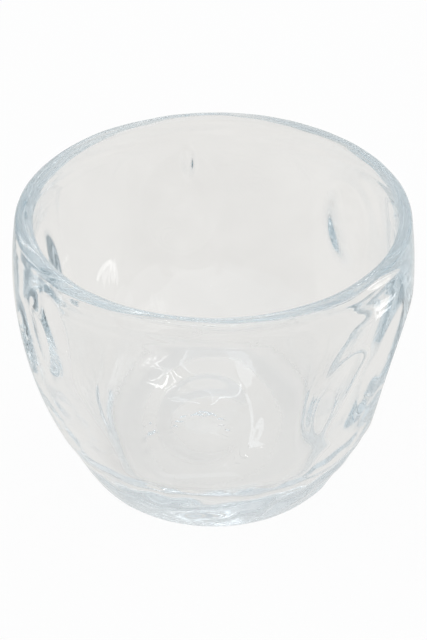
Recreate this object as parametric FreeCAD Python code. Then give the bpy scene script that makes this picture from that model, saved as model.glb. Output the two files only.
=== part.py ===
"""Stirring and mixing glass: one piece of thick clear glass, blown and shaped while hot.

A wide bowl stands on a small flat foot. Its outside is one long curve that is widest above the
middle and leans in again at the lip. The lip is fire-polished to a full round, and the floor is
much thicker than the wall. Oval thumb dimples go round the outside. They were pressed one by one
by hand, so each has its own place, size and slant. Under the foot, a little off the axis, is the
shallow hollow that was ground where the rod was broken off.

The frame: +Z up along the axis of the bowl, the origin in the middle of the plane that it stands
on, and the first dimple within a few degrees of -Y. Lengths are in millimetres and angles in degrees.
"""

import FreeCAD
import Part

import math
import os
from collections import namedtuple

# ---------------------------------------------------------------- sizes that can be changed
# Outside of the bowl
body_diameter = 100.0  # across the widest ring
height = 76.0
widest_height = 59.0  # where the outside is widest
foot_diameter = 62.2  # where the outside curve meets the table plane, before the heel is rounded
heel_radius = 6.5  # round between the outside and the foot

# Wall, lip and floor
lip_thickness = 3.4
wall_thickness = 6.4  # between two dimples, at the height below
wall_height = 48.5  # where the wall is measured
base_wall_thickness = 8.5  # at the level of the floor
floor_thickness = 9.0  # on the axis, above the table
floor_dish_radius = 90.0  # hollow of the inside floor
floor_blend_radius = 15.0  # round between the floor and the wall, inside
lip_round_share = 0.49  # radius of both lip edges over the lip's thickness: 0.5 is a full round

# Thumb dimples, in their order round the glass. Each is the mark of a rounded tool, given by the
# place and depth of its deepest point and by the tool's two radii there. The turn is from -Y towards
# +X, and the slant is how far the tool's long way leans to the right, seen from outside.
Dimple = namedtuple("Dimple", "turn height depth across_radius along_radius slant")
dimples = [
    Dimple(turn=2, height=47.5, depth=2.0, across_radius=71, along_radius=127, slant=34),
    Dimple(turn=46, height=46.0, depth=1.6, across_radius=56, along_radius=99, slant=39),
    Dimple(turn=81, height=37.5, depth=2.5, across_radius=138, along_radius=176, slant=47),
    Dimple(turn=135, height=50.5, depth=1.7, across_radius=38, along_radius=72, slant=37),
    Dimple(turn=195, height=48.5, depth=1.6, across_radius=154, along_radius=161, slant=0),
    Dimple(turn=261, height=47.0, depth=2.4, across_radius=50, along_radius=103, slant=16),
    Dimple(turn=301, height=52.5, depth=1.7, across_radius=47, along_radius=69, slant=32),
]
dimple_edge_radius = 8.0  # soft shoulder where a dimple leaves the wall

# Ground hollow under the foot
pontil_diameter = 14.0
pontil_depth = 0.9
pontil_edge_radius = 0.4
pontil_offset = 3.6  # from the axis towards -X

# ---------------------------------------------------------------- worked out from the sizes
AXIS = FreeCAD.Vector(0, 0, 1)
ORIGIN = FreeCAD.Vector(0, 0, 0)
FULL_TURN = 360.0
START_TURN = 90.0  # a section is drawn at +X, a quarter turn from -Y
LEVEL = FreeCAD.Vector(1, 0, 0)
CLEAR = 0.01  # the most by which an edge looked for may differ from its size or place

body_radius = body_diameter / 2
foot_radius = foot_diameter / 2


def arc_radius(half_chord, rise):
    """Radius of the arc with this half chord and this rise over it."""
    return (half_chord**2 + rise**2) / (2 * rise)


# The outside is one arc: upright at the widest ring and through the edge of the foot.
outside_arc_radius = arc_radius(widest_height, body_radius - foot_radius)


def outside_radius(z):
    """Radius of the undented outside at height z."""
    return body_radius - outside_arc_radius + math.sqrt(outside_arc_radius**2 - (z - widest_height) ** 2)


def outside_lean(z):
    """Angle by which the outside faces down at height z."""
    return math.degrees(math.asin((widest_height - z) / outside_arc_radius))


def at(radius, z):
    """A point of the section, which is drawn in the XZ plane."""
    return FreeCAD.Vector(radius, 0, z)


def line(start, end):
    return Part.LineSegment(start, end).toShape()


def arc(start, through, end):
    return Part.Arc(start, through, end).toShape()


def turned(edges):
    """The solid that a closed section sweeps in a full turn about the axis."""
    return Part.Face(Part.Wire(edges)).revolve(ORIGIN, AXIS, FULL_TURN)


# ---------------------------------------------------------------- guide curves of the section
def guide_circle(centre, radius):
    return Part.Circle(centre, FreeCAD.Vector(0, 1, 0), radius)


def guide_level(z):
    return Part.Line(at(0, z), at(0, z) + LEVEL)


def widened(circle, by):
    """The circle with the same centre and a larger radius, or a smaller one if by is below 0."""
    return guide_circle(circle.Center, circle.Radius + by)


def crossing(first, second, near):
    """The point where two guide curves cross, the one nearest to a given point."""
    points = [FreeCAD.Vector(p.X, p.Y, p.Z) for p in first.intersect(second)]
    return min(points, key=lambda point: point.distanceToPoint(near))


def touch(guide, centre):
    """The point where a guide curve touches a round with this centre."""
    return guide.value(guide.parameter(centre))


def round_arc(first, second, centre, corner, radius):
    """The arc that rounds a corner, from its touch on the first guide to that on the second."""
    start, end = touch(first, centre), touch(second, centre)
    to_corner = (corner - centre).normalize()
    return arc(start, centre + to_corner * radius, end)


outside = guide_circle(at(body_radius - outside_arc_radius, widest_height), outside_arc_radius)
top = guide_level(height)
table = guide_level(0)
inside = Part.Circle(
    at(outside_radius(height) - lip_thickness, height),
    at(outside_radius(wall_height) - wall_thickness, wall_height),
    at(outside_radius(floor_thickness) - base_wall_thickness, floor_thickness),
)
dish = guide_circle(at(0, floor_thickness + floor_dish_radius), floor_dish_radius)


# ---------------------------------------------------------------- section of the glass
def section():
    """The closed outline of half the glass: foot, outside, lip, inside and floor."""
    lip_round = lip_round_share * lip_thickness
    foot_corner = at(foot_radius, 0)
    lip_corner = at(outside_radius(height), height)
    mouth_corner = at(outside_radius(height) - lip_thickness, height)
    floor_corner = crossing(inside, dish, at(foot_radius, floor_thickness))

    # Each round's centre lies on its two guides, both moved by the radius of the round.
    heel = crossing(widened(outside, -heel_radius), guide_level(heel_radius), foot_corner)
    lip = crossing(widened(outside, -lip_round), guide_level(height - lip_round), lip_corner)
    mouth = crossing(widened(inside, lip_round), guide_level(height - lip_round), mouth_corner)
    floor = crossing(
        widened(inside, -floor_blend_radius), widened(dish, -floor_blend_radius), floor_corner
    )
    floor_middle, foot_middle = at(0, floor_thickness), at(0, 0)
    return [
        line(foot_middle, touch(table, heel)),
        round_arc(table, outside, heel, foot_corner, heel_radius),
        along(outside, touch(outside, heel), touch(outside, lip)),
        round_arc(outside, top, lip, lip_corner, lip_round),
        line(touch(top, lip), touch(top, mouth)),
        round_arc(top, inside, mouth, mouth_corner, lip_round),
        along(inside, touch(inside, mouth), touch(inside, floor)),
        round_arc(inside, dish, floor, floor_corner, floor_blend_radius),
        along(dish, touch(dish, floor), floor_middle),
        line(floor_middle, foot_middle),
    ]


def along(circle, start, end):
    """The short arc of a guide circle from one of its points to another."""
    half_way = (start + end) / 2 - circle.Center
    return arc(start, circle.Center + half_way.normalize() * circle.Radius, end)


# ---------------------------------------------------------------- thumb dimples
def widest_ridge():
    """The turn of the ridge in the middle of the widest gap between two dimples."""
    turns = [dimple.turn for dimple in dimples]
    gaps = [(after - before) % FULL_TURN for before, after in zip(turns, turns[1:] + turns[:1])]
    widest = gaps.index(max(gaps))
    return turns[widest] + gaps[widest] / 2


def tool_shape(dimple):
    """The barrel-shaped tool where it presses a dimple.

    The barrel is turned upright, slanted, leaned with the wall, moved to its depth facing -Y and
    turned to its place.
    """
    wall = outside_radius(dimple.height)
    lean = outside_lean(dimple.height)

    # The long section's arc is centred off the barrel's axis, so it meets that axis at both ends.
    offset = dimple.along_radius - dimple.across_radius
    end = math.sqrt(dimple.along_radius**2 - offset**2)
    barrel = turned(
        [
            arc(at(0, end), at(dimple.across_radius, 0), at(0, -end)),
            line(at(0, -end), at(0, end)),
        ]
    )
    barrel.rotate(ORIGIN, FreeCAD.Vector(0, 1, 0), dimple.slant)
    barrel.rotate(ORIGIN, FreeCAD.Vector(1, 0, 0), lean)
    outwards = FreeCAD.Vector(0, -math.cos(math.radians(lean)), -math.sin(math.radians(lean)))
    wall_point = FreeCAD.Vector(0, -wall, dimple.height)
    barrel.translate(wall_point + outwards * (dimple.across_radius - dimple.depth))
    barrel.rotate(ORIGIN, AXIS, dimple.turn)
    return barrel


def dimpled(body):
    """The body with every dimple pressed in and its shoulder softened."""
    pressed = body.cut([tool_shape(dimple) for dimple in dimples])
    return pressed.makeFillet(dimple_edge_radius, shoulders_of(pressed))


def shoulders_of(pressed):
    """The edges where the dimples meet the outside.

    They are the only edges that lie to one side of the axis, between the heel and the lip.
    """
    found = []
    for edge in pressed.Edges:
        box = edge.BoundBox
        beside = math.hypot(box.Center.x, box.Center.y) > foot_radius / 2
        if beside and box.ZMin > heel_radius and box.ZMax < height - lip_thickness:
            found.append(edge)
    return found


# ---------------------------------------------------------------- ground hollow
def ground(body):
    """The body with the hollow ground into its foot by a ball, and the hollow's edge rounded."""
    ball_radius = arc_radius(pontil_diameter / 2, pontil_depth)
    ball = Part.makeSphere(ball_radius, FreeCAD.Vector(-pontil_offset, 0, pontil_depth - ball_radius))
    hollowed = body.cut(ball)
    under = [edge for edge in hollowed.Edges if edge.BoundBox.ZMax < CLEAR]
    rim = [edge for edge in under if abs(edge.BoundBox.XLength - pontil_diameter) < CLEAR]
    return hollowed.makeFillet(pontil_edge_radius, rim)


# ---------------------------------------------------------------- the glass
turned_glass = turned(section())
turned_glass.rotate(ORIGIN, AXIS, widest_ridge() - START_TURN)
mixing_glass = ground(dimpled(turned_glass))

print("valid", mixing_glass.isValid(), "solids", len(mixing_glass.Solids), "faces", len(mixing_glass.Faces))
print("volume", round(mixing_glass.Volume / 1000, 1), "ml of glass")

os.makedirs("parts", exist_ok=True)
mixing_glass.Solids[0].exportStep(os.path.join("parts", "glass_body.step"))
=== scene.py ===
# %% [markdown]
# # A mixing glass of thick clear glass
# The object is a single piece: a wide bowl on a small flat foot, blown and shaped while hot, with
# thumb dimples pressed into its side by hand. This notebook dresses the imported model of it: it
# makes the wall again as one smooth surface, gives it real glass, and sets up a pale table and the
# light of a bright room. Every length is in metres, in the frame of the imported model.

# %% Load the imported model
import math

import bpy
import numpy as np
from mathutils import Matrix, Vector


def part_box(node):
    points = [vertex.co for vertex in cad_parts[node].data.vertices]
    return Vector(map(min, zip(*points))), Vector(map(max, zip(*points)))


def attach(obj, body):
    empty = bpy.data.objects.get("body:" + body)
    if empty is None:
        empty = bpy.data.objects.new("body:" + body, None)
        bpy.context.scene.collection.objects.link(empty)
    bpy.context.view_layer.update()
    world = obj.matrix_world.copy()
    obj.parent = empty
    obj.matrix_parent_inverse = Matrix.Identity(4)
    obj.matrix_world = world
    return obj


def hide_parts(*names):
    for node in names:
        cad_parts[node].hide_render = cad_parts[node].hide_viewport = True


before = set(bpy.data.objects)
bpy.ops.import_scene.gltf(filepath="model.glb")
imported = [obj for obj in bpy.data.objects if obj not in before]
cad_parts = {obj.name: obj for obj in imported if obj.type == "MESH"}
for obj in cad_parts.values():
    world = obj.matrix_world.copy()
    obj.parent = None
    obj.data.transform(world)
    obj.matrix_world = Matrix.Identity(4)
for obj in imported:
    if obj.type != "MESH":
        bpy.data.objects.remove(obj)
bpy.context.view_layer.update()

MM = 0.001
scene = bpy.context.scene
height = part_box("glass_body")[1].z
body_radius = 50.0 * MM
print("glass", round(2 * body_radius / MM, 2), "mm wide and", round(height / MM, 2), "mm high")

# %% [markdown]
# ## The camera
# A glass bowl is told by its lip and by what its floor and wall bend, so the camera looks down
# into it, from a little over a third of the way up to the zenith. It stands six glass widths off
# with a long lens, which keeps the lip's ellipse calm.

# %% Camera
camera_azimuth = math.radians(4.4)
camera_elevation = math.radians(35.0)
camera_distance = 0.600
aim_height = 0.0428
lens_mm = 133.4
sensor_mm = 36.0

camera_data = bpy.data.cameras.new("camera")
camera_data.lens = lens_mm
camera_data.sensor_width = sensor_mm
camera = bpy.data.objects.new("camera", camera_data)
scene.collection.objects.link(camera)
away = np.array(
    [
        math.sin(camera_azimuth) * math.cos(camera_elevation),
        -math.cos(camera_azimuth) * math.cos(camera_elevation),
        math.sin(camera_elevation),
    ]
)
camera.location = camera_distance * away + np.array([0, 0, aim_height])
camera.rotation_euler = (math.pi / 2 - camera_elevation, 0, camera_azimuth)
scene.camera = camera
print("camera at", np.round(np.array(camera.location), 3))

# %% [markdown]
# ## The section of the wall
# A glass turned on the end of a rod is round, so one section, swept round the axis, gives the
# whole body. The section could be typed in as points. Here it is worked out from the circles that
# a maker's template would have: the long outside arc, the inside wall, the dished floor and the
# ground hollow under the foot. Where two of them meet, a small ball rolled into the corner gives
# the round, just as hot glass draws itself smooth.

# %% Sizes of the section
widest_height = 59.0 * MM
foot_radius = 31.1 * MM
heel_radius = 6.5 * MM
lip_thickness = 3.4 * MM
lip_round_share = 0.49
lip_radius = lip_round_share * lip_thickness
wall_thickness = 6.4 * MM
wall_height = 48.5 * MM
base_wall_thickness = 8.5 * MM
floor_thickness = 9.0 * MM
floor_dish_radius = 90.0 * MM
floor_blend_radius = 15.0 * MM
pontil_radius = 7.0 * MM
pontil_depth = 0.9 * MM
pontil_edge_radius = 0.4 * MM


# %% Circles of the section
def arc_radius(half_chord, rise):
    """Radius of an arc: half its chord squared plus its rise squared, over twice the rise."""
    return (half_chord**2 + rise**2) / (2 * rise)


class Circle:
    """A guide circle of the section: its centre (radius, height) and its own radius."""

    def __init__(self, centre, radius):
        self.centre = np.array(centre, float)
        self.radius = radius

    def widened(self, by):
        """The circle about the same centre, with its radius changed by this much."""
        return Circle(self.centre, self.radius + by)

    def touch(self, point):
        """Where the ray from the centre through a point meets the circle."""
        away = point - self.centre
        return self.centre + away / np.linalg.norm(away) * self.radius

    def at_height(self, z):
        """The outer crossing with a level line: the centre plus the level leg of the triangle."""
        return np.array([self.centre[0] + math.sqrt(self.radius**2 - (z - self.centre[1]) ** 2), z])

    def crossing(self, other, near):
        """Where two circles cross, nearest to a point. Along the line of centres the crossing lies
        at (d squared + r squared - s squared) over 2d, and beside it by the rest of r."""
        between = other.centre - self.centre
        apart = np.linalg.norm(between)
        along = (apart**2 + self.radius**2 - other.radius**2) / (2 * apart)
        beside = math.sqrt(self.radius**2 - along**2)
        unit = between / apart
        normal = np.array([-unit[1], unit[0]])
        options = [self.centre + along * unit + side * beside * normal for side in (-1, 1)]
        return min(options, key=lambda point: np.linalg.norm(point - near))

    def points(self, start, end, step):
        """Points along the short arc between two of its points, at about this spacing."""
        angles = [math.atan2(*(point - self.centre)[::-1]) for point in (start, end)]
        turn = (angles[1] - angles[0] + math.pi) % (2 * math.pi) - math.pi
        count = max(int(abs(turn) * self.radius / step), 2)
        angle = angles[0] + turn * np.linspace(0, 1, count + 1)
        return self.centre + self.radius * np.column_stack([np.cos(angle), np.sin(angle)])


def circle_through(a, b, c):
    """The circle through three points: its centre is as far from a as from b and as from c, which
    makes two straight-line equations, solved together."""
    a, b, c = (np.asarray(point, float) for point in (a, b, c))
    centre = np.linalg.solve(2 * np.array([b - a, c - a]), [b @ b - a @ a, c @ c - a @ a])
    return Circle(centre, np.linalg.norm(a - centre))


outside_arc = arc_radius(widest_height, body_radius - foot_radius)
outside = Circle((body_radius - outside_arc, widest_height), outside_arc)
inside = circle_through(
    outside.at_height(height) - [lip_thickness, 0],
    outside.at_height(wall_height) - [wall_thickness, 0],
    outside.at_height(floor_thickness) - [base_wall_thickness, 0],
)
dish = Circle((0, floor_thickness + floor_dish_radius), floor_dish_radius)
hollow_arc = arc_radius(pontil_radius, pontil_depth)
hollow = Circle((0, pontil_depth - hollow_arc), hollow_arc)
print("outside arc", round(outside_arc / MM, 1), "mm, inside arc", round(inside.radius / MM, 1), "mm")

# %% Walk the section
path_step = 0.05 * MM


def rolled(first, second, centre, radius):
    """The round that a ball leaves in a corner, from its touch on one side to the other."""
    return Circle(centre, radius).points(first, second, path_step)


def section_path():
    """The section as one path: ground hollow, foot, heel, outside, lip, inside, floor."""
    floor_corner = inside.crossing(dish, near=(foot_radius, floor_thickness))
    heel = outside.widened(-heel_radius).at_height(heel_radius)
    lip = outside.widened(-lip_radius).at_height(height - lip_radius)
    mouth = inside.widened(lip_radius).at_height(height - lip_radius)
    ball = inside.widened(-floor_blend_radius).crossing(
        dish.widened(-floor_blend_radius), near=floor_corner
    )
    edge = hollow.widened(pontil_edge_radius).at_height(pontil_edge_radius)
    table_edge, table_heel = np.array([edge[0], 0]), np.array([heel[0], 0])
    top_lip, top_mouth = np.array([lip[0], height]), np.array([mouth[0], height])
    level = np.arange(edge[0], heel[0], path_step)
    return np.vstack(
        [
            hollow.points(np.array([0, pontil_depth]), hollow.touch(edge), path_step),
            rolled(hollow.touch(edge), table_edge, edge, pontil_edge_radius),
            np.column_stack([level, 0 * level]),
            rolled(table_heel, outside.touch(heel), heel, heel_radius),
            outside.points(outside.touch(heel), outside.touch(lip), path_step),
            rolled(outside.touch(lip), top_lip, lip, lip_radius),
            rolled(top_mouth, inside.touch(mouth), mouth, lip_radius),
            inside.points(inside.touch(mouth), inside.touch(ball), path_step),
            rolled(inside.touch(ball), dish.touch(ball), ball, floor_blend_radius),
            dish.points(dish.touch(ball), np.array([0, floor_thickness]), path_step),
        ]
    )


# %% [markdown]
# The path bends hard at the lip and hardly at all along the wall, so rows of the mesh at equal
# steps would mostly be wasted on the wall. Weighing each step by how much the path turns there
# puts the rows where the light is bent most.

# %% Spread the rows of the mesh along the path
rows = 272
row_per_metre = 0.9 / MM
rows_per_radian = 10.0
soften_width = 0.3 * MM
bell_reach = 4


def even_steps(path, step):
    """The same path at equal steps: each coordinate read off against the length walked so far."""
    walked = np.concatenate([[0], np.cumsum(np.hypot(*np.diff(path, axis=0).T))])
    keep = np.concatenate([[True], np.diff(walked) > 0])
    path, walked = path[keep], walked[keep]
    places = np.linspace(0, walked[-1], int(round(walked[-1] / step)) + 1)
    return np.column_stack([np.interp(places, walked, path[:, axis]) for axis in (0, 1)])


def softened(path, width, step):
    """A rolling mean of the path with a bell-shaped weight of this width. Past each end the path
    goes on as its own mirror image across the axis, so the middle of the floor stays level."""
    reach = int(round(bell_reach * width / step))
    bell = np.exp(-0.5 * (np.arange(-reach, reach + 1) * step / width) ** 2)
    mirror = np.array([-1, 1])
    padded = np.vstack([path[reach:0:-1] * mirror, path, path[-2 : -reach - 2 : -1] * mirror])
    return np.column_stack([np.convolve(padded[:, axis], bell / bell.sum(), "valid") for axis in (0, 1)])


def spread_rows(path, count):
    """count points of the path, spaced by length plus a share for how much the path turns."""
    legs = np.diff(path, axis=0)
    heading = np.unwrap(np.arctan2(legs[:, 1], legs[:, 0]))
    turning = np.abs(np.gradient(heading))
    weight = np.hypot(*legs.T) * row_per_metre + turning * rows_per_radian
    walked = np.concatenate([[0], np.cumsum(weight)])
    places = np.linspace(0, walked[-1], count)
    return np.column_stack([np.interp(places, walked, path[:, axis]) for axis in (0, 1)])


path = softened(even_steps(section_path(), path_step), soften_width, path_step)
section = spread_rows(path, rows)
section[[0, -1], 0] = 0
steps = np.hypot(*np.diff(section, axis=0).T)
print("section", rows, "rows, the widest step", round(steps.max() / MM, 2), "mm")

# %% [markdown]
# ## Thumb dimples
# Each dimple was pressed into the soft wall with a rounded tool, one after another, so no two are
# alike. Cutting with a shaped solid would leave a sharp rim to be rounded afterwards. Moving the
# surface itself inwards gives the dimple and its soft shoulder in one go and leaves the mesh as it
# is. The wall was hot right through, so its inside follows with a wider and shallower hollow.

# %% The marks of the tool
dimples = [
    # turn, height of the deepest point, depth, tool radius across and along, slant to the right
    (2, 47.5, 2.0, 71, 127, 34),
    (46, 46.0, 1.6, 56, 99, 39),
    (81, 37.5, 2.5, 138, 176, 47),
    (135, 50.5, 1.7, 38, 72, 37),
    (195, 48.5, 1.6, 154, 161, 0),
    (261, 47.0, 2.4, 50, 103, 16),
    (301, 52.5, 1.7, 47, 69, 32),
]
shoulder = 0.9 * MM
inner_share = 0.35
inner_spread = 1.1


def soft_positive(value, width):
    """value where it is well above 0 and 0 well below, joined by a cubic over width either side:
    the cubic is (width less the size of value) cubed, over 6 times width squared."""
    return np.maximum(value, 0) + np.maximum(width - np.abs(value), 0) ** 3 / (6 * width**2)


def wrapped(turn):
    """The same turn, brought to within half a turn of nought on either side."""
    return (turn + math.pi) % (2 * math.pi) - math.pi


def dimple_press(angle, z, share=1.0, spread=1.0):
    """How far the tool moves the wall inwards at an angle and a height. It is the depth less four
    rises, each a squared distance over twice a radius: two of the wall, which falls away from the
    deepest point, and two of the tool. Share scales the depth, and spread the size of the mark."""
    press = np.zeros_like(angle)
    for turn, middle, depth, across_radius, along_radius, slant in dimples:
        wall = outside.at_height(middle * MM)[0]
        across = wrapped(angle - math.radians(turn)) * wall
        up = z - middle * MM
        lean = math.radians(slant)
        aside = across * math.cos(lean) - up * math.sin(lean)
        along = across * math.sin(lean) + up * math.cos(lean)
        rise = across**2 / wall + up**2 / outside_arc
        rise = (rise + aside**2 / (across_radius * MM) + along**2 / (along_radius * MM)) / 2
        press += soft_positive(share * (depth * MM - rise / spread**2), shoulder)
    return press


depths = [dimple[2] for dimple in dimples]
print(len(dimples), "dimples,", min(depths), "to", max(depths), "mm deep")

# %% [markdown]
# High up on the far side one short nick stands by itself, where a tool's corner touched. A cut
# made with a small solid would have hard edges. A bell-shaped dent, narrow across and longer up
# the wall, is one line of arithmetic and is as soft as the rest.

# %% The nick on the far side
nick_turn = 192.6
nick_height = 61.0 * MM
nick_depth = 1.6 * MM
nick_across = 1.25 * MM
nick_along = 3.4 * MM


def nick_press(angle, r, z):
    """The depth times a bell: e to the minus squared distance, across and up in their own widths."""
    across = wrapped(angle - math.radians(nick_turn)) * r / nick_across
    return nick_depth * np.exp(-(across**2) - ((z - nick_height) / nick_along) ** 2)


print("nick", round(nick_depth / MM, 1), "mm deep at", round(nick_height / MM), "mm")

# %% [markdown]
# ## The unevenness of handwork
# Blown glass is never quite true. Its two faces wander by a tenth or two of a millimetre over waves
# as wide as a thumb, and round the heel by about three tenths, with deeper spots, over shorter
# ones. It hardly shows as shape, but it makes reflections swim. It could be a Displace modifier
# with a cloud texture. A sum of cosines of the place, each along its own direction and all with a
# fixed seed, is smooth everywhere, closes round the glass by itself, and has a length that can be
# named.

# %% Waves of the two faces
outside_seed = 36
inside_seed = 37
heel_seed = 40
wave_count = 14
wave_length = (22 * MM, 70 * MM)
outside_wave = 0.07 * MM
inside_wave = 0.14 * MM
heel_wave = 0.30 * MM
heel_length = (7 * MM, 16 * MM)
heel_top = 22 * MM
calm = 4.0 * MM
rim_calm = 6.0 * MM


def smooth_step(value):
    """0 below 0, 1 above 1, and between them 3 times the square less 2 times the cube."""
    value = np.clip(value, 0, 1)
    return value * value * (3 - 2 * value)


def waves(place, seed, length=wave_length):
    """A sum of cosines of the place, each along its own direction, scaled to spread about 1."""
    chance = np.random.default_rng(seed)
    total = np.zeros(place.shape[:-1])
    for _ in range(wave_count):
        along = chance.normal(size=3)
        along *= 2 * math.pi / (chance.uniform(*length) * np.linalg.norm(along))
        total += np.cos(place @ along + chance.uniform(0, 2 * math.pi))
    return total * math.sqrt(2 / wave_count)


def outside_waves(place, below_rim):
    """How far the outer face lies inwards: long waves above the heel, short ones up to heel_top.
    Each is its depth times 1 plus half a wave, and fades out over a few millimetres."""
    z = place[..., 2]
    long_part = outside_wave * (1 + waves(place, outside_seed) / 2) * smooth_step((z - heel_radius) / calm)
    short_part = heel_wave * (1 + waves(place, heel_seed, heel_length) / 2)
    short_part *= smooth_step(z / heel_radius) * smooth_step((heel_top - z) / calm)
    return long_part * below_rim + short_part


print("waves of", round(inside_wave / MM, 2), "mm inside and", round(heel_wave / MM, 2), "mm at the heel")

# %% [markdown]
# ## The lip
# A lip that is melted smooth over a flame is not the same all round: here it is thickest at the
# front left, a little oval, and lower on one side. The section stays as it is, and only its inner
# side and its height are moved, by amounts that depend on the angle alone.

# %% The lip all round
lip_lean = 0.80 * MM
thick_side = math.radians(325)
lip_oval = 0.45 * MM
oval_side = math.radians(270)
lip_drop = 0.35 * MM
low_side = math.radians(225)
lip_wave = 0.12 * MM
lip_length = (8 * MM, 25 * MM)
lip_seed = 38
lip_reach = 34.0 * MM


def lip_extra(angle):
    """How much thicker the lip is than its mean: one cosine for the thick side, one for the oval."""
    return lip_lean * np.cos(angle - thick_side) + lip_oval * np.cos(2 * (angle - oval_side))


def lip_fall(angle):
    """How far the lip lies under its highest point: a slope to the low side, and small waves."""
    slope = (1 + np.cos(angle - low_side)) / 2
    ring = np.stack([body_radius * np.sin(angle), -body_radius * np.cos(angle), 0 * angle], -1)
    return lip_drop * slope + lip_wave * (1 + waves(ring, lip_seed, lip_length) / 2)


every_degree = np.radians(np.arange(360))
around = lip_thickness + lip_extra(every_degree)
print("lip", round(around.min() / MM, 1), "to", round(around.max() / MM, 1), "mm thick")

# %% [markdown]
# ## The mark under the foot
# A blown glass is held by a rod on its foot while the lip is worked. The rod is broken off and the
# scar is ground to a shallow hollow, which here sits off the axis, and beside it an arc of small
# chips is left in the foot. Both are seen through the floor. The hollow is in the section already
# and only has to slide aside. The chips are a ring-shaped bell times short waves, cut off at
# nought so that they are pits and never bumps.

# %% The hollow and the chips
mark_shift = -3.6 * MM
mark_still = 9.0 * MM
mark_fade = 14.0 * MM
chip_depth = 0.34 * MM
chip_radius = 12.6 * MM
chip_middle = (-4.5 * MM, -9.3 * MM)
chip_width = 2.1 * MM
chip_length = (2.2 * MM, 4.5 * MM)
chip_seed = 39
chip_near = -17.0 * MM
chip_fade = 8.0 * MM
skin_margin = 0.1 * MM
foot_skin = pontil_depth + skin_margin


def mark_slide(r):
    """The whole shift near the axis, and none beyond mark_still plus mark_fade."""
    return mark_shift * (1 - smooth_step((r - mark_still) / mark_fade))


def chip_rise(x, y):
    """How far the foot is chipped upwards: a bell across a ring, times waves, less on the near side.
    The depth is for the middle of the waves, and the deepest pits reach three times as far."""
    ring = np.hypot(x - chip_middle[0], y - chip_middle[1])
    band = np.exp(-(((ring - chip_radius) / chip_width) ** 2)) * smooth_step((y - chip_near) / chip_fade)
    pits = 1 + waves(np.stack([x, y, 0 * x], -1), chip_seed, chip_length)
    return chip_depth * band * pits.clip(0)


print("hollow", round(-mark_shift / MM, 1), "mm off the axis, chips about", round(chip_depth / MM, 2), "mm")

# %% [markdown]
# ## The surface of the glass
# The grid runs along the section one way and round the axis the other. Its two poles, in the middle
# of the floor and of the hollow, are single points with a fan of triangles, so the skin is closed.
# Spin would make the same round body, but here every point also moves by itself, and a grid of
# numbers takes all the movements at once.

# %% Sweep the section round the axis
columns = 352


def section_outward():
    """The direction out of the glass at each row: the section's heading, turned a quarter."""
    heading = np.gradient(section, axis=0)
    heading /= np.linalg.norm(heading, axis=1)[:, None]
    return np.column_stack([heading[:, 1], -heading[:, 0]])


def glass_points():
    """Points of the grid. Each is the section's radius and height, moved along the section's own
    normal by the dimples and the waves, and turned about the axis by its column's angle. Over goes
    from 0 outside to 1 inside across the lip, so that each face gets its own movement."""
    angle, row = np.meshgrid(np.arange(columns) * 2 * math.pi / columns, np.arange(rows))
    r, z = section[row, 0], section[row, 1]
    outward = section_outward()
    lip_rows = np.flatnonzero(section[:, 1] > height - lip_radius)
    over = smooth_step((row - lip_rows[0]) / (lip_rows[-1] - lip_rows[0]))
    below_rim = smooth_step((height - z) / rim_calm)
    near_lip = smooth_step((z - height + lip_reach) / lip_reach)
    place = np.stack([r * np.sin(angle), -r * np.cos(angle), z], -1)
    press = dimple_press(angle, z) + nick_press(angle, r, z) + outside_waves(place, below_rim)
    swell = dimple_press(angle, z, inner_share, inner_spread) * smooth_step((z - floor_thickness) / calm)
    swell += inside_wave * waves(place, inside_seed) * below_rim
    move = swell * over - press * (1 - over)
    slide = mark_slide(r) * (1 - over)
    under_foot = z < foot_skin
    r = r + move * outward[row, 0] - lip_extra(angle) * over * near_lip
    z = z + move * outward[row, 1] - lip_fall(angle) * near_lip
    x, y = r * np.sin(angle) + slide, -r * np.cos(angle)
    return np.stack([x, y, z + chip_rise(x, y) * under_foot], axis=-1)


def closed_grid(name, grid):
    """A mesh of the grid, closed round the columns and at both poles, its faces outwards."""
    inner = grid[1:-1].reshape(-1, 3)
    points = np.vstack([inner, grid[0, :1], grid[-1, :1]])
    first_pole, last_pole = len(inner), len(inner) + 1
    here = np.arange(columns)
    after = (here + 1) % columns
    base = np.arange(len(grid) - 3)[:, None] * columns
    quads = np.stack([base + here, base + after, base + columns + after, base + columns + here], -1)
    last = (len(grid) - 3) * columns
    bottom = np.stack([np.full(columns, first_pole), after, here], -1)
    top = np.stack([np.full(columns, last_pole), last + here, last + after], -1)
    mesh = bpy.data.meshes.new(name)
    mesh.from_pydata(points.tolist(), [], quads.reshape(-1, 4).tolist() + bottom.tolist() + top.tolist())
    mesh.shade_smooth()
    mesh.validate()
    piece = bpy.data.objects.new(name, mesh)
    scene.collection.objects.link(piece)
    return piece


glass = closed_grid("glass_wall", glass_points())
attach(glass, "root")
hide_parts("glass_body")
print("glass mesh", len(glass.data.vertices), "points,", len(glass.data.polygons), "faces")

# %% [markdown]
# ## Shader maths as expressions
# A value in a shader is a socket. Wrapping the socket in a small class lets a formula be written
# as one, and each operator then adds its Math node. Every other node comes from one method, which
# sets what the node is before it feeds what goes in.

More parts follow.
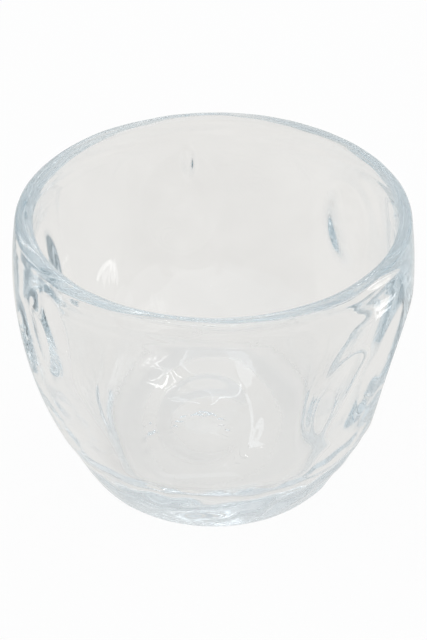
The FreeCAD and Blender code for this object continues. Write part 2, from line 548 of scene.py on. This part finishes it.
# %% A value of a shader
class Value:
    """A number that changes over the surface, held as the output of a node."""

    def __init__(self, finish, socket):
        self.finish = finish
        self.socket = socket

    def math(self, operation, first, second):
        """A Math node with these two terms."""
        made = self.finish.node("ShaderNodeMath", {"operation": operation}, {0: first, 1: second})
        return Value(self.finish, made.outputs[0])

    def __add__(self, other):
        return self.math("ADD", self, other)

    def __sub__(self, other):
        return self.math("SUBTRACT", self, other)

    def __rsub__(self, other):
        return self.math("SUBTRACT", other, self)

    def __mul__(self, other):
        return self.math("MULTIPLY", self, other)

    def __truediv__(self, other):
        return self.math("DIVIDE", self, other)

    def __rtruediv__(self, other):
        return self.math("DIVIDE", other, self)

    def __pow__(self, other):
        return self.math("POWER", self, other)

    def __rpow__(self, other):
        return self.math("POWER", other, self)

    __radd__ = __add__
    __rmul__ = __mul__

    def clamped(self):
        """The value kept between 0 and 1."""
        return self.math("MINIMUM", self.math("MAXIMUM", self, 0.0), 1.0)


# %% The nodes of a finish
class Finish:
    """The node tree of one material or world, emptied first."""

    def __init__(self, owner):
        owner.use_nodes = True
        self.tree = owner.node_tree
        self.tree.nodes.clear()

    def feed(self, socket, term):
        """Links a value, a socket or a node's first output, or sets a plain number or colour."""
        if isinstance(term, Value):
            self.tree.links.new(term.socket, socket)
        elif isinstance(term, bpy.types.NodeSocket):
            self.tree.links.new(term, socket)
        elif isinstance(term, bpy.types.Node):
            self.tree.links.new(term.outputs[0], socket)
        else:
            socket.default_value = term

    def node(self, kind, settings=None, inputs=None):
        """A node of any kind: its settings are set first, then its inputs are fed by name."""
        made = self.tree.nodes.new(kind)
        for key, value in (settings or {}).items():
            setattr(made, key, value)
        for key, term in (inputs or {}).items():
            self.feed(made.inputs[key], term)
        return made

    def value(self, kind, output, settings=None, inputs=None):
        """One output of a new node, as a value."""
        return Value(self, self.node(kind, settings, inputs).outputs[output])

    def axes(self, place):
        """The three numbers of a place, as values."""
        split = self.node("ShaderNodeSeparateXYZ", inputs={0: place})
        return [Value(self, split.outputs[axis]) for axis in "XYZ"]

    def blend(self, share, first, second):
        """A Mix of two colours, which may go a little past either. The node holds sockets for
        numbers and vectors too: its colours are inputs 6 and 7 and output 2."""
        settings = {"data_type": "RGBA", "clamp_factor": False}
        return self.node("ShaderNodeMix", settings, {"Factor": share, 6: first, 7: second}).outputs[2]

    def noise(self, place, scale, detail):
        """A noise of the place from 0 to 1: scale is how fine it is, detail how many finer ones it has."""
        inputs = {"Vector": place, "Scale": scale, "Detail": detail}
        return self.value("ShaderNodeTexNoise", "Fac", inputs=inputs)

    def layer(self, share, under, over):
        """A Mix Shader: under where the share is 0, over where it is 1."""
        return self.node("ShaderNodeMixShader", inputs={0: share, 1: under, 2: over})


def axis_distance(right, back):
    """How far a place is from the axis: the root of the sum of the two squares."""
    return (right * right + back * back) ** 0.5


print("a finish can be written as an expression")

# %% [markdown]
# ## The glass itself
# Clear glass has no colour of its own at the surface: it bends and mirrors the room. The tint of
# thick glass comes from its depth, so it is an absorption in the volume, which is faint through
# the wall and shows in the lip, where light has come all the way up through the wall. Lamps would
# be blocked by a glass shader, so for their rays alone it is transparent and the table stays bright.

# %% [markdown]
# The skin of worked glass has a grain of its own. The flame draws fine cords along the lip, which
# a noise stretched round the axis gives: it reads the distance from the axis and the height in
# full, and the place itself only in part, so it changes slowly along the lip. The whole skin also
# has a faint ripple. The foot is ground matt in a ring where it stands, and stays clear inside it:
# a roughness that starts some way from the axis and fades out up the heel.

# %% Glass
noise_middle = 0.5
glass_ior = 1.50
absorption_colour = (0.46, 0.65, 0.73, 1)
absorption_density = 2.45
cord_scale = 270.0
cord_detail = 0.5
cord_slowness = 0.18
cord_depth = 0.6 * MM
cord_start = 65.0 * MM
cord_fade = 9.0 * MM
ripple_scale = 70.0
ripple_detail = 2.0
ripple_share = 0.045
scuff_scale = 900.0
scuff_detail = 2.0
scuff_inside = 17.0 * MM
scuff_fade = 5.0 * MM
scuff_height = 9.0 * MM
scuff_roughness = 0.42


def lip_cords(finish, place):
    """Fine ridges along the lip: a noise of (distance from the axis, height), less its middle."""
    right, back, up = finish.axes(place)
    outward = axis_distance(right, back) + right * cord_slowness
    inputs = {0: outward, 1: up + back * cord_slowness, 2: up * cord_slowness}
    stretched = finish.node("ShaderNodeCombineXYZ", inputs=inputs)
    cord = finish.noise(stretched, cord_scale, cord_detail)
    return (cord - noise_middle) * ((up - cord_start) / cord_fade).clamped()


def foot_scuffs(finish, place):
    """Roughness of the ground ring: a fine grain, from scuff_inside outwards, that is strongest on
    the flat and gone at scuff_height."""
    right, back, up = finish.axes(place)
    grain = finish.noise(place, scuff_scale, scuff_detail) + noise_middle
    ring = ((axis_distance(right, back) - scuff_inside) / scuff_fade).clamped()
    return grain * ring * (1.0 - up / scuff_height).clamped() * scuff_roughness


def glass_material():
    """Glass with cords, ripples and a scuffed foot. Lamp rays pass, and depth takes the colour."""
    material = bpy.data.materials.new("clear glass")
    finish = Finish(material)
    place = finish.node("ShaderNodeTexCoord").outputs["Object"]
    ripple = finish.noise(place, ripple_scale, ripple_detail) * ripple_share
    height_map = ripple + lip_cords(finish, place)
    inputs = {"Strength": 1.0, "Distance": cord_depth, "Height": height_map}
    bump = finish.node("ShaderNodeBump", inputs=inputs)
    surface = finish.node(
        "ShaderNodeBsdfPrincipled",
        inputs={
            "Base Color": (1, 1, 1, 1),
            "Roughness": foot_scuffs(finish, place),
            "IOR": glass_ior,
            "Transmission Weight": 1.0,
            "Normal": bump,
        },
    )
    lamp_ray = finish.node("ShaderNodeLightPath").outputs["Is Shadow Ray"]
    skin = finish.layer(lamp_ray, surface, finish.node("ShaderNodeBsdfTransparent"))
    inputs = {"Color": absorption_colour, "Density": absorption_density}
    depth = finish.node("ShaderNodeVolumeAbsorption", inputs=inputs)
    finish.node("ShaderNodeOutputMaterial", inputs={"Surface": skin, "Volume": depth})
    return material


glass.data.materials.append(glass_material())
print("glass finish of", len(glass.data.materials[0].node_tree.nodes), "nodes")

# %% [markdown]
# ## Table
# The glass stands on a white table, and a glass shows what lies behind it, so the table decides the
# tone of the whole bowl. To the camera itself it is plain white. Seen through the glass or
# mirrored in it, it is the warm grey that a white table has indoors, a little mottled, and darker
# on the near side, where a painted shadow stands for the one the glass throws from the window behind.

# %% Table
table_half = 1.2
table_level = -0.1 * MM
table_white = (0.82, 0.82, 0.82, 1)
plain_white = (1, 1, 1, 1)
seen_white = (0.815, 0.805, 0.785, 1)
seen_dark = (0, 0, 0, 1)
camera_share = 0.95
seen_share = 0.9
# shadow_start, shadow_fade and shadow_depth set a painted shadow on the near side of the table
shadow_start = 22 * MM
shadow_fade = 30 * MM
shadow_depth = 0.35
mottle_scale = 45.0
mottle_detail = 3.0
mottle_depth = 0.12


def seen_tone(finish, place):
    """1, less a ramp towards the near side that paints the glass's shadow, plus a slow noise about nought.
    """
    near = finish.axes(place)[1] * -1.0
    cloud = finish.noise(place, mottle_scale, mottle_detail)
    shadow = ((near - shadow_start) / shadow_fade).clamped()
    return 1.0 - shadow * shadow_depth + (cloud - noise_middle) * mottle_depth


def table_material():
    """Three answers to a ray: white to the camera, the warm grey through glass, and a plain matt
    white to the lamps."""
    material = bpy.data.materials.new("white table")
    finish = Finish(material)
    rays = finish.node("ShaderNodeLightPath")
    place = finish.node("ShaderNodeTexCoord").outputs["Object"]
    seen_colour = finish.blend(seen_tone(finish, place), seen_dark, seen_white)
    matt = finish.node("ShaderNodeBsdfDiffuse", inputs={"Color": table_white})
    plain = finish.node("ShaderNodeEmission", inputs={"Color": plain_white, "Strength": 1.0})
    seen = finish.node("ShaderNodeEmission", inputs={"Color": seen_colour, "Strength": 1.0})
    camera_ray = Value(finish, rays.outputs["Is Camera Ray"]) * camera_share
    glass_ray = Value(finish, rays.outputs["Is Transmission Ray"]) + rays.outputs["Is Glossy Ray"]
    open_view = finish.layer(camera_ray, matt, plain)
    finish.node(
        "ShaderNodeOutputMaterial",
        inputs={"Surface": finish.layer(glass_ray * seen_share, open_view, seen)},
    )
    return material


def table():
    """One square under the glass, a hair below the foot."""
    corners = np.array([(-1, -1), (1, -1), (1, 1), (-1, 1)]) * table_half
    points = np.column_stack([corners, np.full(4, table_level)])
    mesh = bpy.data.meshes.new("table")
    mesh.from_pydata(points.tolist(), [], [(0, 1, 2, 3)])
    mesh.materials.append(table_material())
    piece = bpy.data.objects.new("table", mesh)
    scene.collection.objects.link(piece)


table()
print("table", 2 * table_half, "m square")

# %% [markdown]
# ## Room
# Glass mirrors the whole room, and its thick lip and heel gather it from far round. The room is
# pale: lighter walls on the right than on the left, a greyer wall behind, in which the window
# stands, and a ceiling above. They could be planes. A blend of four colours by the direction of
# view is enough, because nothing of the room is seen sharply.

# %% Room
left_wall = (0.68, 0.73, 0.77, 1)
right_wall = (0.98, 0.99, 1.0, 1)
window_wall = (0.59, 0.63, 0.655, 1)
ceiling = (0.82, 0.84, 0.85, 1)
side_walls_middle = 0.5
window_wall_spread = 1.5
window_wall_start = 0.2


def room():
    """Each share runs from 0 to 1 with one number of the direction: right, back, then up."""
    world = bpy.data.worlds.new("room")
    scene.world = world
    finish = Finish(world)
    right, back, up = finish.axes(finish.node("ShaderNodeTexCoord").outputs["Generated"])
    side = finish.blend((right + side_walls_middle).clamped(), left_wall, right_wall)
    wall = finish.blend((back * window_wall_spread - window_wall_start).clamped(), side, window_wall)
    shade = finish.blend(up.clamped(), wall, ceiling)
    around = finish.node("ShaderNodeBackground", inputs={"Color": shade, "Strength": 1.0})
    white = finish.node("ShaderNodeBackground", inputs={"Color": plain_white, "Strength": 1.0})
    camera_ray = finish.node("ShaderNodeLightPath").outputs["Is Camera Ray"]
    mixed = finish.layer(camera_ray, around, white)
    finish.node("ShaderNodeOutputWorld", inputs={"Surface": mixed})


room()
print("room", "left", left_wall[:3], "right", right_wall[:3])

# %% [markdown]
# ## Window, lamps and cards
# What tells an onlooker that this is glass is the bright shapes that it mirrors. They come from
# real things: a window behind with its frame, a group of lamp tubes beside it, and white cards
# standing low on the right, which the left wall mirrors as a small fan. A broad soft light on
# the right fills the lip there. A painted room could hold them too, but flat lamps are easier to
# move. Each faces the glass and is set by where it is seen from there: a turn from the front
# towards the right, a rise above level, and a distance. The camera can't see them, which leaves
# the background plain.

# %% A lamp by its direction
glass_middle = np.array([0, 0, 15 * MM])
sky = (0.88, 0.94, 1.0)
lamp_white = (1, 1, 1)


def softbox(name, turn, rise, away, wide, tall, glow, lean=0, colour=lamp_white):
    """A flat lamp, turned to face the glass and leant over in its own plane. Its power is pi times
    its area times its glow, so that its face looks glow times as bright as white."""
    lamp = bpy.data.lights.new(name, "AREA")
    lamp.shape = "RECTANGLE"
    lamp.size = wide
    lamp.size_y = tall
    lamp.energy = glow * math.pi * wide * tall
    lamp.color = colour
    piece = bpy.data.objects.new(name, lamp)
    scene.collection.objects.link(piece)
    piece.visible_camera = False
    turn, rise = math.radians(turn), math.radians(rise)
    level = np.array([math.sin(turn), -math.cos(turn), 0]) * math.cos(rise)
    piece.location = glass_middle + away * (level + [0, 0, math.sin(rise)])
    piece.rotation_euler = (math.pi / 2 - rise, math.radians(lean), turn)
    return lamp.energy


# %% Window and tubes
# name, turn and rise in degrees, distance, width and height in metres, glow
window = [
    ("window_pane", 185.5, 46, 1.0, 0.17, 0.19, 0.5),
    ("window_left", 179, 47, 1.0, 0.012, 0.18, 2.5),
    ("window_right", 193.5, 47, 1.0, 0.030, 0.26, 1.9),
    ("window_leg", 190.3, 33, 1.0, 0.030, 0.22, 2.0),
    ("window_top", 186, 53, 1.0, 0.16, 0.03, 2.0),
    ("window_bottom", 184.5, 41, 1.0, 0.19, 0.008, 5.0),
    ("window_sill", 183, 13, 1.0, 0.05, 0.05, 0.5),
]
tubes = [
    ("tube_first", 165, 43.5, 1.0, 0.006, 0.10, 9.0),
    ("tube_second", 167, 43.5, 1.0, 0.006, 0.10, 9.0),
    ("tube_third", 169, 43.5, 1.0, 0.006, 0.10, 9.0),
    ("tube_fourth", 171.5, 43.5, 1.0, 0.008, 0.10, 9.0),
]
power = sum(softbox(*pane, colour=sky) for pane in window) + sum(softbox(*tube) for tube in tubes)
print("window and tubes", round(power, 3), "W")

# %% Side light and low cards
side_light = ("side_light", 67, 27, 1.0, 0.8, 0.6, 0.45)
# the same, and how far each leans over, in degrees
low_cards = [
    ("low_card_back", 101.3, -3.7, 0.133, 0.037, 0.0025, 2.3, 5),
    ("low_card_middle", 95.6, -1.1, 0.131, 0.016, 0.004, 1.3, -25),
    ("low_card_front", 89.5, 0.9, 0.130, 0.016, 0.008, 1.6, -112),
    ("low_card_wide", 98.9, -2.3, 0.132, 0.024, 0.006, 1.4, -3),
    ("low_card_tall", 92.6, -0.1, 0.130, 0.012, 0.011, 1.5, -61),
]
power = softbox(*side_light) + sum(softbox(*card) for card in low_cards)
print("side light and cards", round(power, 3), "W")

# %% [markdown]
# ## Finish
# A ray can cross the wall of a glass many times, and it turns black when it is cut short, so the
# ray depth is raised.

# %% Set the ray depth and finish
ray_depth = 48
scene.view_settings.view_transform = "Standard"
scene.cycles.max_bounces = ray_depth
scene.cycles.transmission_bounces = ray_depth
scene.cycles.glossy_bounces = ray_depth
